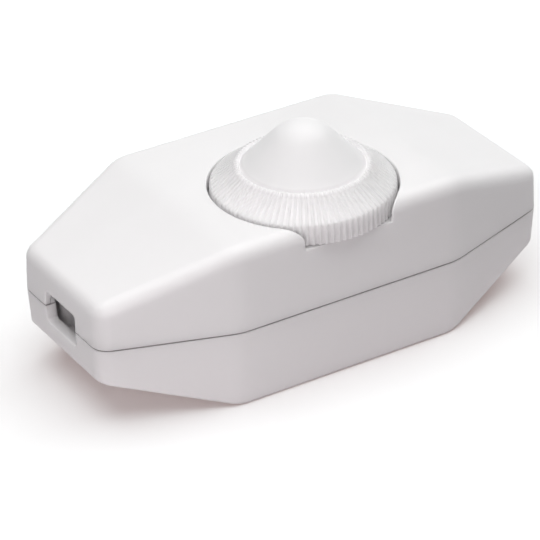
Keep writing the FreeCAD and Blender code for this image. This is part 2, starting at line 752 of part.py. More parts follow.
def make_potentiometer():
    """The fixed pieces and then the turning pieces of the potentiometer and its switch."""
    radius = "(pot_diameter / 2)"
    shaft = "(shaft_diameter / 2)"
    carrier_base = f"({POT_BASE} + track_thickness + carrier_lift)"
    switch = rod("switch_case", "0", KNOB_Y, BOARD_TOP, radius, "switch_height")
    switch_pin_y = f"({KNOB_Y} - {radius} - can_clearance - pin_thickness / 2)"
    switch_pins = group("switch_pins", [
        block(f"switch_pin_{i}", x, switch_pin_y, BOARD_TOP,
              "pin_width", "pin_thickness", "switch_pin_height")
        for i, x in enumerate(("pin_pitch / 2", minus("pin_pitch / 2")), start=1)])

    tongue_y = f"({KNOB_Y} + {radius} / 2 + ({radius} / 2 + tongue_reach) / 2)"
    tongue_depth = f"({radius} / 2 + tongue_reach)"
    can = less("potentiometer_case", rod("can_blank", "0", KNOB_Y, POT_BASE, radius, "pot_height"), [
        rod("can_inside", "0", KNOB_Y, f"{POT_BASE} - can_wall", f"{radius} - can_wall", "pot_height"),
        rod("can_hole", "0", KNOB_Y, POT_BASE, f"{shaft} + bush_clearance", "pot_height * 2"),
        block("can_notch", "0", tongue_y, f"{POT_BASE} - can_wall", "tongue_width + 2 * can_clearance",
              tongue_depth, "track_thickness + can_clearance + can_wall")])
    disc = rod("track_disc", "0", KNOB_Y, POT_BASE, f"{radius} - can_wall - can_clearance", "track_thickness")
    tongue = block("track_tongue", "0", tongue_y, POT_BASE, "tongue_width", tongue_depth, "track_thickness")
    track = less("resistance_track", join("track_blank", [disc, tongue]),
                 [rod("track_hole", "0", KNOB_Y, POT_BASE, "track_bore / 2", "track_thickness")])
    pins = group("potentiometer_pins", [
        block(f"potentiometer_pin_{i}", x, f"({KNOB_Y} + {radius} + tongue_reach / 2)", BOARD_TOP,
              "pin_width", "pin_thickness", "switch_height")
        for i, x in enumerate((minus("pin_pitch"), "0", "pin_pitch"), start=1)])
    flange = rod("bush_flange_disc", "0", KNOB_Y, POT_TOP, "bush_flange / 2", "bush_flange_height")
    sleeve = rod("bush_sleeve", "0", KNOB_Y, POT_TOP, "bush_diameter / 2",
                 f"{WELL_FLOOR} + bush_stand - {POT_TOP}")
    bush = less("potentiometer_bush", join("bush_blank", [flange, sleeve]),
                [rod("bush_bore", "0", KNOB_Y, POT_TOP, f"{shaft} + shaft_clearance", "pot_height")])

    stem = rod("shaft_round", "0", KNOB_Y, carrier_base, shaft,
               f"{KNOB_BASE} + shaft_reach - {carrier_base}")
    flat = block("shaft_flat_side", "shaft_diameter - shaft_flat", KNOB_Y, KNOB_BASE,
                 "shaft_diameter", "shaft_diameter * 2", "shaft_reach * 2")
    turning = less("potentiometer_shaft", stem, [flat])
    plate = rod("carrier_disc", "0", KNOB_Y, carrier_base, "carrier_diameter / 2", "carrier_thickness")
    hole = rod("carrier_hole", "0", KNOB_Y, carrier_base, f"{shaft} + thread_clearance", "carrier_thickness")
    carrier = less("wiper_carrier", plate, [hole])
    washer_base = f"({carrier_base} - contact_thickness)"
    ring = rod("contact_disc", "0", KNOB_Y, washer_base, "carrier_diameter / 2 - contact_inset",
               "contact_thickness")
    ring_hole = rod("contact_hole", "0", KNOB_Y, washer_base, "track_bore / 2", "contact_thickness")
    brush_path = "((track_bore / 2 + carrier_diameter / 2) / 2)"
    brush = rod("contact_brush", "0", f"({KNOB_Y} - {brush_path})",
                f"({POT_BASE} + track_thickness + brush_gap)", "brush_diameter / 2",
                "carrier_lift - brush_gap - contact_thickness / 2")
    washer = less("contact_washer", ring, [ring_hole])
    contact = join("wiper_contact", [washer, brush])
    return [switch, switch_pins, can, track, pins, bush, turning, carrier, contact]


def make_triac():
    """The switching device on its heat sink at the back of the board."""
    base = f"({BOARD_TOP} + leg_length)"
    package = block("triac_package", TRIAC_X, f"({SINK_Y} - triac_depth / 2)", base,
                    "triac_width", "triac_depth", "triac_height")
    legs = group("triac_legs", [
        block(f"triac_leg_{i}", f"({TRIAC_X} + {step} * leg_pitch)", f"({SINK_Y} - triac_depth / 2)",
              BOARD_TOP, "leg_width", "leg_thickness", "leg_length")
        for i, step in enumerate((-1, 0, 1), start=1)])
    plate = block("tab_plate", TRIAC_X, f"({SINK_Y} - tab_thickness / 2)", f"({base} + triac_height)",
                  "triac_width", "tab_thickness", "tab_height")
    opening = rod("tab_hole", TRIAC_X, f"{SINK_Y} - tab_thickness", TAB_HOLE_Z,
                  "sink_screw_diameter / 2 + screw_clearance", "tab_thickness", ALONG_Y)
    tab = less("triac_tab", plate, [opening])
    sink = new_body("heat_sink")
    fold = sketch_on(sink, "YZ_Plane", "sink_fold")
    inner = f"({SINK_Y} + sink_thickness)"
    toe = f"({inner} + sink_foot)"
    foot_top = f"({BOARD_TOP} + sink_thickness)"
    sink_top = f"({BOARD_TOP} + sink_height)"
    draw_outline(fold, [(SINK_Y, BOARD_TOP), (toe, BOARD_TOP), (toe, foot_top), (inner, foot_top),
                        (inner, sink_top), (SINK_Y, sink_top)])
    pad(sink, fold, "sink_length", "sink_pad", both=True)
    hole = sketch_on(sink, "XZ_Plane", "sink_hole")
    draw_circle(hole, TRIAC_X, TAB_HOLE_Z, "sink_screw_diameter / 2 + thread_clearance")
    pocket(sink, hole, "body_width * 2", "sink_hole_cut", both=True)
    shank = rod("sink_screw_shank", TRIAC_X, f"{SINK_Y} - tab_thickness", TAB_HOLE_Z,
                "sink_screw_diameter / 2", "tab_thickness + sink_thickness", ALONG_Y)
    head = rod("sink_screw_head", TRIAC_X, f"{SINK_Y} - tab_thickness - sink_head_height", TAB_HOLE_Z,
               "sink_head_diameter / 2", "sink_head_height", ALONG_Y)
    return [package, legs, tab, sink, join("heat_sink_screw", [shank, head])]


def make_choke():
    core = new_body("choke_core")
    radius, post = "(choke_diameter / 2)", "(choke_post / 2)"
    profile = sketch_on(core, "XZ_Plane", "choke_profile")
    draw_outline(profile, [
        ("0", "0"), (radius, "0"), (radius, "choke_flange"), (post, "choke_flange"),
        (post, "choke_height - choke_flange"), (radius, "choke_height - choke_flange"),
        (radius, "choke_height"), ("0", "choke_height"),
    ])
    turned = core.newObject("PartDesign::Revolution", "choke_turned")
    turned.Profile = profile
    turned.ReferenceAxis = (profile, ["V_Axis"])
    turned.Angle = 360
    x = f"(pot_diameter / 2 + part_gap + {radius})"
    y = minus(f"(terminal_width / 2 + part_gap + {radius})")
    place(core, x, y, BOARD_TOP)
    base = f"({BOARD_TOP} + choke_flange + winding_gap)"
    height = "(choke_height - 2 * choke_flange - 2 * winding_gap)"
    outside = rod("winding_outside", x, y, base, f"{radius} - winding_inset", height)
    inside = rod("winding_inside", x, y, base, f"{post} + winding_gap", height)
    return [core, less("choke_winding", outside, [inside])]


def make_capacitor(name, x, y, sizes):
    """A moulded box on the board with its upright and top edges rounded."""
    box = new_body(name)
    foot = sketch_on(box, "XY_Plane", f"{name}_foot")
    length, depth = f"({sizes}_length / 2)", f"({sizes}_depth / 2)"
    draw_box(foot, minus(length), minus(depth), length, depth)
    pad(box, foot, f"{sizes}_height", f"{name}_pad")
    edges = edges_at(box.Tip, lambda middle: middle.z > NEARNESS)
    dress(box, "Fillet", edges, f"{name}_rounding", Radius="case_round")
    place(box, x, y, BOARD_TOP)
    return box


def axial(name, outward, y, sizes):
    """A round body on end, its upper wire bent over and down to the board."""
    height = f"({sizes}_length + 2 * axial_lift)"
    body = rod(f"{name}_body", f"{outward} * {AXIAL_X}", y, f"{BOARD_TOP} + axial_lift",
               f"{sizes}_diameter / 2", f"{sizes}_length")
    wires = [block(f"{name}_wire_{i}", f"{outward} * ({AXIAL_X} + {step} * lead_pitch)", y, BOARD_TOP,
                   "lead_diameter", "lead_diameter", height) for i, step in enumerate((0, 1), start=1)]
    bend = block(f"{name}_bend", f"{outward} * ({AXIAL_X} + lead_pitch / 2)", y, f"({BOARD_TOP} + {height})",
                 "lead_pitch + lead_diameter", "lead_diameter", "lead_diameter")
    return join(name, [body, bend] + wires)


def make_axial_parts():
    near_y = "(terminal_width / 2 + part_gap + resistor_diameter / 2)"
    spots = ((-1, near_y), (-1, f"({near_y} + axial_pitch)"), (1, near_y))
    resistors = [axial(f"resistor_{i}", *spot, "resistor") for i, spot in enumerate(spots, start=1)]
    return [group("resistors", resistors), axial("trigger_diode", -1, minus(near_y), "diode")]


def make_fuse():
    """A glass fuse along Y in two spring clips."""
    radius = "(fuse_diameter / 2)"
    glass = f"({radius} - fuse_cap_wall - fuse_fit)"
    inner = "(fuse_length - 2 * fuse_cap_wall)"
    y_inner = minus(f"{inner} / 2")
    tube = less("fuse_tube", rod("tube_outside", FUSE_X, y_inner, FUSE_Z, glass, inner, ALONG_Y),
                [rod("tube_inside", FUSE_X, y_inner, FUSE_Z, f"{glass} - fuse_glass_wall", inner, ALONG_Y)])
    wire = rod("fuse_wire", FUSE_X, y_inner, FUSE_Z, "fuse_wire_diameter / 2", inner, ALONG_Y)
    outer, arm = f"({CLIP_SPAN} / 2)", f"({CLIP_SPAN} / 2 - clip_thickness)"
    front, back = "(-1 * fuse_length / 2)", "(fuse_length / 2 - fuse_cap_length)"
    caps, clips = [], []
    for i, (y_cap, y_cup) in enumerate(((front, f"{front} + fuse_cap_wall"), (back, back)), start=1):
        cup = rod(f"cap_outside_{i}", FUSE_X, y_cap, FUSE_Z, radius, "fuse_cap_length", ALONG_Y)
        hollow = rod(f"cap_inside_{i}", FUSE_X, y_cup, FUSE_Z, f"{radius} - fuse_cap_wall",
                     "fuse_cap_length - fuse_cap_wall", ALONG_Y)
        caps.append(less(f"fuse_cap_{i}", cup, [hollow]))
        clip = new_body(f"fuse_clip_{i}")
        fold = sketch_on(clip, "XZ_Plane", f"clip_fold_{i}")
        draw_outline(fold, [
            (minus(outer), "0"), (outer, "0"), (outer, "clip_rise"), (arm, "clip_rise"),
            (arm, "clip_thickness"), (minus(arm), "clip_thickness"), (minus(arm), "clip_rise"),
            (minus(outer), "clip_rise"),
        ])
        pad(clip, fold, "clip_width", f"clip_pad_{i}", both=True)
        place(clip, FUSE_X, f"{y_cap} + fuse_cap_length / 2", BOARD_TOP)
        clips.append(clip)
    return [tube, wire, group("fuse_caps", caps), group("fuse_clips", clips)]


def make_terminal(name, outward):
    """A two-pole terminal block, its wire holes towards the case's end."""
    body = new_body(name)
    poles = ("terminal_pitch / 2", "-1 * terminal_pitch / 2")
    foot = sketch_on(body, "XY_Plane", f"{name}_foot")
    depth, width = "(terminal_depth / 2)", "(terminal_width / 2)"
    draw_box(foot, minus(depth), minus(width), depth, width)
    pad(body, foot, "terminal_height", f"{name}_pad")
    rooms = sketch_on(body, "XY_Plane", f"{name}_rooms")
    half_x, half_y = "(pillar_depth / 2 + pillar_clearance)", "(pillar_width / 2 + pillar_clearance)"
    for y in poles:
        draw_box(rooms, minus(half_x), f"{y} - {half_y}", half_x, f"{y} + {half_y}")
    pocket(body, rooms, "pillar_height + pillar_clearance", f"{name}_room_cut")
    screw_holes = circles(body, f"{name}_screw_holes", "0", [("0", y) for y in poles],
                          "terminal_head_diameter / 2 + screw_clearance")
    pocket(body, screw_holes, "terminal_height * 2", f"{name}_screw_cut")
    wire_holes = sketch_on(body, "YZ_Plane", f"{name}_wire_holes")
    for y in poles:
        draw_circle(wire_holes, y, "wire_level", "wire_bore / 2")
    pocket(body, wire_holes, "terminal_depth", f"{name}_wire_cut")
    if outward < 0:
        body.Placement = Placement(Vector(), HALF_TURN)
    place(body, f"{outward} * {TERMINAL_X}", "0", BOARD_TOP)
    return body


def make_terminals():
    blocks = [make_terminal("input_terminal", -1), make_terminal("output_terminal", 1)]
    spots = four(TERMINAL_X, "(terminal_pitch / 2)")
    pillars = []
    for i, (x, y) in enumerate(spots, start=1):
        bar = block(f"pillar_bar_{i}", x, y, BOARD_TOP, "pillar_depth", "pillar_width", "pillar_height")
        wire = rod(f"pillar_wire_{i}", f"{x} - pillar_depth", y, f"{BOARD_TOP} + wire_level", "wire_bore / 2",
                   "pillar_depth * 2", ALONG_X)
        tapping = rod(f"pillar_tapping_{i}", x, y, f"{BOARD_TOP} + wire_level",
                      "terminal_screw_diameter / 2 + thread_clearance", "pillar_height")
        pillars.append(less(f"pillar_{i}", bar, [wire, tapping]))
    fixing = screws("terminal_screws", spots, f"({BOARD_TOP} + pillar_height)", "terminal",
                    "(pillar_height - wire_level - wire_bore / 2)")
    return blocks + [group("terminal_pillars", pillars), fixing]


def make_cord_clamp(name, outward):
    """A bar across two pillars, with a ridge that bites the cord."""
    bar = new_body(name)
    half_x, half_y = "(clamp_bar_width / 2)", f"({CLAMP_Y} + clamp_pillar_diameter / 2)"
    plate = sketch_on(bar, "XY_Plane", f"{name}_plate")
    draw_box(plate, minus(half_x), minus(half_y), half_x, half_y)
    pad(bar, plate, "clamp_bar_thickness", f"{name}_pad")
    ridge = sketch_on(bar, "XY_Plane", f"{name}_ridge")
    draw_box(ridge, "-1 * ridge_width / 2", "-1 * ridge_length / 2", "ridge_width / 2", "ridge_length / 2")
    pad(bar, ridge, "ridge_height", f"{name}_ridge_pad", up=False)
    holes = circles(bar, f"{name}_holes", "0", [("0", CLAMP_Y), ("0", minus(CLAMP_Y))],
                    "clamp_screw_diameter / 2 + screw_clearance")
    pocket(bar, holes, "clamp_bar_thickness * 2", f"{name}_hole_cut")
    place(bar, f"{outward} * {CLAMP_X}", "0", PARTING)
    return bar


def make_all():
    suppressor_x = f"({TRIAC_X} + triac_width / 2 + part_gap + suppressor_length / 2)"
    suppressor_y = f"({SINK_Y} - part_gap - suppressor_depth / 2)"
    timing_x = "(pot_diameter / 2 + part_gap + timing_length / 2)"
    nodes = [make_upper_shell(), make_lower_shell(), make_knob(), make_circuit_board()]
    nodes += make_potentiometer() + make_triac() + make_choke()
    nodes.append(make_capacitor("suppression_capacitor", suppressor_x, suppressor_y, "suppressor"))
    nodes.append(make_capacitor("timing_capacitor", timing_x, "0", "timing"))
    nodes += make_axial_parts() + make_fuse() + make_terminals()
    nodes += [make_cord_clamp("input_cord_clamp", -1), make_cord_clamp("output_cord_clamp", 1)]
    nodes.append(screws("case_screws", diagonal(BOSS_X, BOSS_Y), SCREW_SEAT, "case",
                        "case_screw_length", upward=True))
    nodes.append(screws("board_screws", diagonal(POST_X, minus(POST_Y)), BOARD_TOP, "board",
                        f"(board_thickness + {BOARD_LEVEL} - wall - pilot_spare)"))
    nodes.append(screws("clamp_screws", four(CLAMP_X, CLAMP_Y), f"({PARTING} + clamp_bar_thickness)", "clamp",
                        "clamp_screw_length"))
    doc.recompute()
    return nodes


nodes = make_all()
for thing in doc.Objects:
    if "Invalid" in thing.State or "Error" in thing.State:
        raise RuntimeError(f"{thing.Label} did not build: {thing.State}")
for node in nodes:
    if node.Shape.isNull() or not node.Shape.isValid() or not node.Shape.Solids:
        raise RuntimeError(f"{node.Label} has no sound solid")
os.makedirs("parts", exist_ok=True)
for node in nodes:
    node.Shape.exportStep(f"parts/{node.Label}.step")
    print(node.Label, len(node.Shape.Solids), "solids", round(node.Shape.Volume, 1), "mm3")
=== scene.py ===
import json
import math

import bmesh
import bpy
from mathutils import Matrix, Vector


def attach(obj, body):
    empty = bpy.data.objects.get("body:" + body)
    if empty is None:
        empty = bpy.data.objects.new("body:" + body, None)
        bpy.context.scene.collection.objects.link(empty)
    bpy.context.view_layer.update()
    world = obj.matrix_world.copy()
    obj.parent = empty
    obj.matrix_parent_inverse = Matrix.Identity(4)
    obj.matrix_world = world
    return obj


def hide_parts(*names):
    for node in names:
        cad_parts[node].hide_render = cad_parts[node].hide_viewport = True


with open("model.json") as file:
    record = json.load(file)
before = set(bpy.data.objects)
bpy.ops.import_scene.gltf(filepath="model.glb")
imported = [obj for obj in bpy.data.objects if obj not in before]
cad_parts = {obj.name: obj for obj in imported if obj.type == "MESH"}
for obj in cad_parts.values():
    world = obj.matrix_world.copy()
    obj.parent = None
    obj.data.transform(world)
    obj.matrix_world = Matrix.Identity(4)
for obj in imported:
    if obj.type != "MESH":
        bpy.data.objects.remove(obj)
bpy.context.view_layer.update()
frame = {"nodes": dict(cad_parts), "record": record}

scene = bpy.context.scene
scene.view_settings.view_transform = "Standard"
mm = 0.001
white = (1.0, 1.0, 1.0)
black = (0.0, 0.0, 0.0)
warm = (1.0, 0.95, 0.965)  # tint of the lamps at the front left
noiseMean = 0.5
waveTurn = 20.0  # radians that a wave texture turns per unit of place and scale
print("frame loaded:", len(frame["nodes"]), "pieces")


# sums on node sockets, so that shader maths reads as plain expressions
class Wire:
    def __init__(self, graph, socket):
        self.graph = graph
        self.socket = socket

    def maths(self, operation, *values):
        return self.graph.add("ShaderNodeMath", {"operation": operation}, dict(enumerate(values)))

    def __add__(self, other):
        return self.maths("ADD", self, other)

    def __radd__(self, other):
        return self.maths("ADD", other, self)

    def __sub__(self, other):
        return self.maths("SUBTRACT", self, other)

    def __rsub__(self, other):
        return self.maths("SUBTRACT", other, self)

    def __mul__(self, other):
        return self.maths("MULTIPLY", self, other)

    def __rmul__(self, other):
        return self.maths("MULTIPLY", other, self)

    def __truediv__(self, other):
        return self.maths("DIVIDE", self, other)

    def __rtruediv__(self, other):
        return self.maths("DIVIDE", other, self)

    def __gt__(self, other):
        return self.maths("GREATER_THAN", self, other)

    def __lt__(self, other):
        return self.maths("LESS_THAN", self, other)

    def __abs__(self):
        return self.maths("ABSOLUTE", self)

    def atLeast(self, other):
        return self.maths("MAXIMUM", self, other)

    def fraction(self):
        return self.maths("FRACT", self)


class Graph:
    def __init__(self, tree):
        self.tree = tree
        tree.nodes.clear()

    # one node: its type, its settings, then the values or links of its sockets
    def add(self, kind, settings=None, sockets=None, out=0):
        node = self.tree.nodes.new(kind)
        for name, value in (settings or {}).items():
            setattr(node, name, value)
        for name, value in (sockets or {}).items():
            if isinstance(value, Wire):
                self.tree.links.new(value.socket, node.inputs[name])
            else:
                node.inputs[name].default_value = value
        return Wire(self, node.outputs[out]) if node.outputs else None

    # a Mix node's sockets for colours are inputs 0, 6 and 7 and output 2
    def blend(self, mask, first, second):
        sockets = {0: mask, 6: first, 7: second}
        return self.add("ShaderNodeMix", {"data_type": "RGBA"}, sockets, 2)

    # noise by the size of its grains (mm)
    def noise(self, place, size, detail=2.0, rough=0.5):
        sockets = {"Vector": place, "Scale": 1 / (size * mm), "Detail": detail, "Roughness": rough}
        return self.add("ShaderNodeTexNoise", None, sockets)

    def stretch(self, place, scale):
        return self.add("ShaderNodeMapping", None, {"Vector": place, "Scale": scale})

    # 0 below the band, 1 above it, smooth between
    def fade(self, value, band):
        sockets = {"Value": value, "From Min": band[0], "From Max": band[1]}
        return self.add("ShaderNodeMapRange", {"interpolation_type": "SMOOTHSTEP"}, sockets)


def rgba(colour, level=1.0):
    return tuple(part * level for part in colour) + (1.0,)


def newFinish(name):
    finish = bpy.data.materials.new(name)
    finish.use_nodes = True
    graph = Graph(finish.node_tree)
    place = graph.add("ShaderNodeTexCoord", None, None, "Object")
    return finish, graph, place


def closeFinish(graph, look, colour, roughness, height, extra=None):
    bump = graph.add("ShaderNodeBump", None, {
        "Strength": look["bump"], "Distance": look["depth"] * mm, "Height": height})
    shader = graph.add("ShaderNodeBsdfPrincipled", None, {
        "Base Color": colour, "Roughness": roughness, "Normal": bump, **(extra or {})})
    graph.add("ShaderNodeOutputMaterial", None, {"Surface": shader})


# satin moulded plastic: spark-eroded grain, faint flow marks, a few pin-point specks
def mouldedPlastic(name, look):
    finish, graph, place = newFinish(name)
    grain = graph.noise(place, look["grain"], detail=3.0, rough=0.6)
    waves = graph.noise(place, look["waves"])
    flow = graph.noise(graph.stretch(place, look["flow"]), look["waves"], detail=3.0)
    tone = graph.blend(graph.fade(flow, look["flowBand"]),
                       rgba(look["colour"]), rgba(look["colour"], look["pale"]))
    cells = {"Vector": place, "Scale": 1 / (look["speckApart"] * mm)}
    cell = graph.add("ShaderNodeTexVoronoi", None, cells, "Distance")
    chance = graph.add("ShaderNodeTexVoronoi", None, cells, "Color")
    pick = graph.add("ShaderNodeSeparateColor", None, {"Color": chance}, "Red")
    speck = (cell < look["speck"] / look["speckApart"]) * (pick > 1 - look["speckShare"])
    tone = graph.blend(speck, tone, rgba(look["speckColour"]))
    # painted shade at one height, dark and mottled like dust: in the gap between the shells, or in
    # the knob's groove
    if "seam" in look:
        height = graph.add("ShaderNodeSeparateXYZ", None, {"Vector": place}, "Z")
        band = (look["seamCore"] * mm, look["seamHalf"] * mm)
        near = 1 - graph.fade(abs(height - look["seam"] * mm), band)
        patches = graph.noise(place, look["paintedShadeGrain"], detail=3.0)
        paintedShade = near * (look["paintedShade"] + (patches - noiseMean) * look["mottle"])
        tone = graph.blend(paintedShade, tone, rgba(look["paintedShadeColour"]))
    roughness = (look["roughness"] + (waves - noiseMean) * look["sheen"]
                 + (grain - noiseMean) * look["sparkle"])
    closeFinish(graph, look, tone, roughness, grain + waves * look["swell"], {
        "IOR": look["ior"], "Specular IOR Level": look["gloss"],
        "Subsurface Weight": look["milky"], "Subsurface Radius": white,
        "Subsurface Scale": look["milkyDepth"] * mm})
    return finish


# drawn, turned or rolled metal: fine scratches that run one way over a soft stain
def workedMetal(name, look):
    finish, graph, place = newFinish(name)
    scratch = graph.noise(graph.stretch(place, look["lay"]), look["grain"], detail=4.0, rough=0.65)
    stain = graph.noise(place, look["stain"], detail=3.0)
    tone = graph.blend(graph.fade(stain, look["stainBand"]),
                       rgba(look["colour"]), rgba(look["dull"]))
    bright = graph.fade(scratch, look["scratchBand"]) * look["scratchShare"]
    tone = graph.blend(bright, tone, rgba(look["colour"], look["scratchGain"]))
    roughness = (look["roughness"] + (scratch - noiseMean) * look["sheen"]
                 + (stain - noiseMean) * look["stainSheen"])
    closeFinish(graph, look, tone, roughness, scratch, {"Metallic": 1.0})
    return finish


# pressed paper laminate: long fibres and a resin blush
def paperLaminate(name, look):
    finish, graph, place = newFinish(name)
    fibres = graph.noise(graph.stretch(place, look["lay"]), look["grain"], detail=5.0, rough=0.7)
    blush = graph.noise(place, look["stain"])
    tone = graph.blend(graph.fade(fibres, look["fibreBand"]),
                       rgba(look["colour"]), rgba(look["dull"]))
    bloom = graph.fade(blush, look["blushBand"]) * look["blushShare"]
    tone = graph.blend(bloom, tone, rgba(look["colour"], look["blushGain"]))
    roughness = look["roughness"] + (fibres - noiseMean) * look["sheen"]
    closeFinish(graph, look, tone, roughness, fibres)
    return finish


# enamelled wire laid turn beside turn up the former
def woundWire(name, look):
    finish, graph, place = newFinish(name)
    turns = graph.add("ShaderNodeTexWave", {"bands_direction": "Z", "wave_profile": "SIN"}, {
        "Vector": place, "Scale": math.tau / (waveTurn * look["wire"] * mm),
        "Distortion": look["wobble"], "Detail": look["wobbleDetail"],
        "Detail Scale": look["wobbleScale"]})
    stain = graph.noise(place, look["stain"], detail=3.0)
    # painted shade: the dull colour lies down in the grooves between the turns
    tone = graph.blend(graph.fade(turns, look["turnBand"]),
                       rgba(look["dull"]), rgba(look["colour"]))
    dark = graph.fade(stain, look["stainBand"]) * look["stainShare"]
    tone = graph.blend(dark, tone, rgba(look["colour"], look["stainGain"]))
    roughness = look["roughness"] + (stain - noiseMean) * look["sheen"]
    closeFinish(graph, look, tone, roughness, turns, {"Metallic": look["metallic"]})
    return finish


# lacquered body with painted rings round it
def bandedLacquer(name, look):
    finish, graph, place = newFinish(name)
    along = graph.add("ShaderNodeSeparateXYZ", None, {"Vector": place}, "Z")
    ring = graph.add("ShaderNodeTexWave", {"bands_direction": "Z", "wave_profile": "SIN"}, {
        "Vector": place, "Scale": math.tau / (waveTurn * look["ringPitch"] * mm)})
    pool = graph.noise(place, look["stain"], detail=3.0)
    turn = (abs(along) / (look["ringPitch"] * 2 * mm)).fraction()
    paint = graph.blend(turn > 0.5, rgba(look["ringOne"]), rgba(look["ringTwo"]))
    tone = graph.blend(graph.fade(pool, look["poolBand"]),
                       rgba(look["colour"]), rgba(look["colour"], look["poolGain"]))
    tone = graph.blend(graph.fade(ring, look["ringBand"]), tone, paint)
    roughness = look["roughness"] + (pool - noiseMean) * look["sheen"]
    closeFinish(graph, look, tone, roughness, pool)
    return finish


# clear drawn glass, a little wavy and smeared
def clearGlass(name, look):
    finish, graph, place = newFinish(name)
    smear = graph.noise(graph.stretch(place, look["lay"]), look["stain"], detail=3.0)
    haze = graph.fade(smear, look["smearBand"]) * look["smearShare"]
    tone = graph.blend(haze, rgba(look["colour"]), rgba(look["dull"]))
    roughness = look["roughness"] + graph.fade(smear, look["roughBand"]) * look["sheen"]
    closeFinish(graph, look, tone, roughness, smear, {
        "Transmission Weight": 1.0, "IOR": look["ior"]})
    return finish


# the shells and the knob (sizes in mm)
casePlastic = {
    "colour": (0.88, 0.872, 0.874), "pale": 1.012, "ior": 1.5,
    "grain": 0.34, "waves": 16.0, "flow": (0.35, 1.0, 1.3), "flowBand": (0.35, 0.68),
    "speck": 0.16, "speckApart": 15.0, "speckShare": 0.16, "speckColour": (0.62, 0.6, 0.6),
    # painted shade: a dark mottled band along the gap between the shells
    "seam": 14.92, "seamCore": 0.136, "seamHalf": 0.16,
    "paintedShade": 0.7, "mottle": 0.3, "paintedShadeGrain": 1.1111, "paintedShadeColour": (0.3, 0.27, 0.28),
    "roughness": 0.46, "sheen": 0.1, "sparkle": 0.12, "gloss": 0.45,
    "bump": 0.35, "depth": 0.012, "swell": 0.4, "milky": 0.85, "milkyDepth": 1.6,
}
knobPlastic = {
    # paler than the case: partly the knob's own plastic, partly raised as painted light so that
    # the dome renders brighter
    "colour": (0.945, 0.934, 0.938), "pale": 1.012, "ior": 1.5,
    "grain": 0.3, "waves": 9.0, "flow": (1.0, 1.0, 0.5), "flowBand": (0.35, 0.68),
    "speck": 0.13, "speckApart": 9.0, "speckShare": 0.12, "speckColour": (0.66, 0.63, 0.62),
    # painted shade: a faint mottled band in the groove between the ring and the dome
    "seam": 34.25, "seamCore": 0.15, "seamHalf": 0.55,
    "paintedShade": 0.24, "mottle": 0.1, "paintedShadeGrain": 1.1111, "paintedShadeColour": (0.62, 0.6, 0.61),
    "roughness": 0.52, "sheen": 0.12, "sparkle": 0.1, "gloss": 0.36,
    "bump": 0.3, "depth": 0.01, "swell": 0.4, "milky": 0.65, "milkyDepth": 1.6,
}
slotFinish = {
    "case_white": mouldedPlastic("satinCasePlastic", casePlastic),
    "knob_white": mouldedPlastic("satinKnobPlastic", knobPlastic),
}

# plastics inside the case, clean and opaque: name, colour, roughness, grain and specks
innerPlastics = {
    "black_moulding": ("mattBlackMoulding", (0.06, 0.06, 0.06), 0.62, 0.4, (0.1, 0.1, 0.1)),
    "ferrite": ("sinteredFerrite", (0.13, 0.13, 0.14), 0.7, 0.25, (0.22, 0.22, 0.23)),
    "capacitor_yellow": ("yellowCapacitorCase", (0.82, 0.62, 0.16), 0.35, 0.5, (0.6, 0.42, 0.1)),
    "capacitor_red": ("dippedRedResin", (0.55, 0.16, 0.1), 0.24, 1.2, (0.4, 0.1, 0.06)),
    "terminal_grey": ("greyTerminalPlastic", (0.7, 0.7, 0.68), 0.55, 0.4, (0.5, 0.5, 0.48)),
    "clamp_grey": ("greyClampPlastic", (0.55, 0.55, 0.54), 0.55, 0.4, (0.4, 0.4, 0.4)),
}
for slot, (name, colour, roughness, grain, specks) in innerPlastics.items():
    look = dict(knobPlastic, colour=colour, roughness=roughness, grain=grain, speckColour=specks,
                pale=1.08, bump=0.6, depth=0.03, milky=0.0)
    del look["seam"]
    slotFinish[slot] = mouldedPlastic(name, look)

# metals inside the case: name, colour, dulled colour, roughness, lay and grain of the scratches
innerMetals = {
    "screw_steel": ("zincPlatedSteel", (0.62, 0.62, 0.63), (0.5, 0.5, 0.48), 0.34,
                    (1.0, 1.0, 0.3), 0.2),
    "can_steel": ("drawnCanSteel", (0.68, 0.68, 0.67), (0.56, 0.56, 0.54), 0.3,
                  (1.0, 1.0, 0.12), 0.25),
    "shaft_steel": ("turnedShaftSteel", (0.66, 0.66, 0.68), (0.54, 0.54, 0.55), 0.26,
                    (0.3, 0.3, 3.0), 0.3),
    "contact_brass": ("turnedBrass", (0.75, 0.6, 0.3), (0.58, 0.42, 0.18), 0.3,
                      (0.4, 0.4, 2.5), 0.3),
    "tinned_metal": ("tinnedStrip", (0.74, 0.74, 0.73), (0.62, 0.62, 0.6), 0.36,
                     (1.0, 0.4, 0.4), 0.5),
    "sink_aluminium": ("rolledAluminium", (0.72, 0.73, 0.74), (0.62, 0.63, 0.64), 0.4,
                       (0.08, 1.5, 1.5), 0.25),
}
metalWear = {
    "stain": 5.0, "stainBand": (0.3, 0.75), "stainSheen": 0.12,
    "scratchBand": (0.62, 0.8), "scratchShare": 0.25, "scratchGain": 1.15,
    "sheen": 0.22, "bump": 0.4, "depth": 0.008,
}
for slot, (name, colour, dull, roughness, lay, grain) in innerMetals.items():
    look = dict(metalWear, colour=colour, dull=dull, roughness=roughness, lay=lay, grain=grain)
    slotFinish[slot] = workedMetal(name, look)

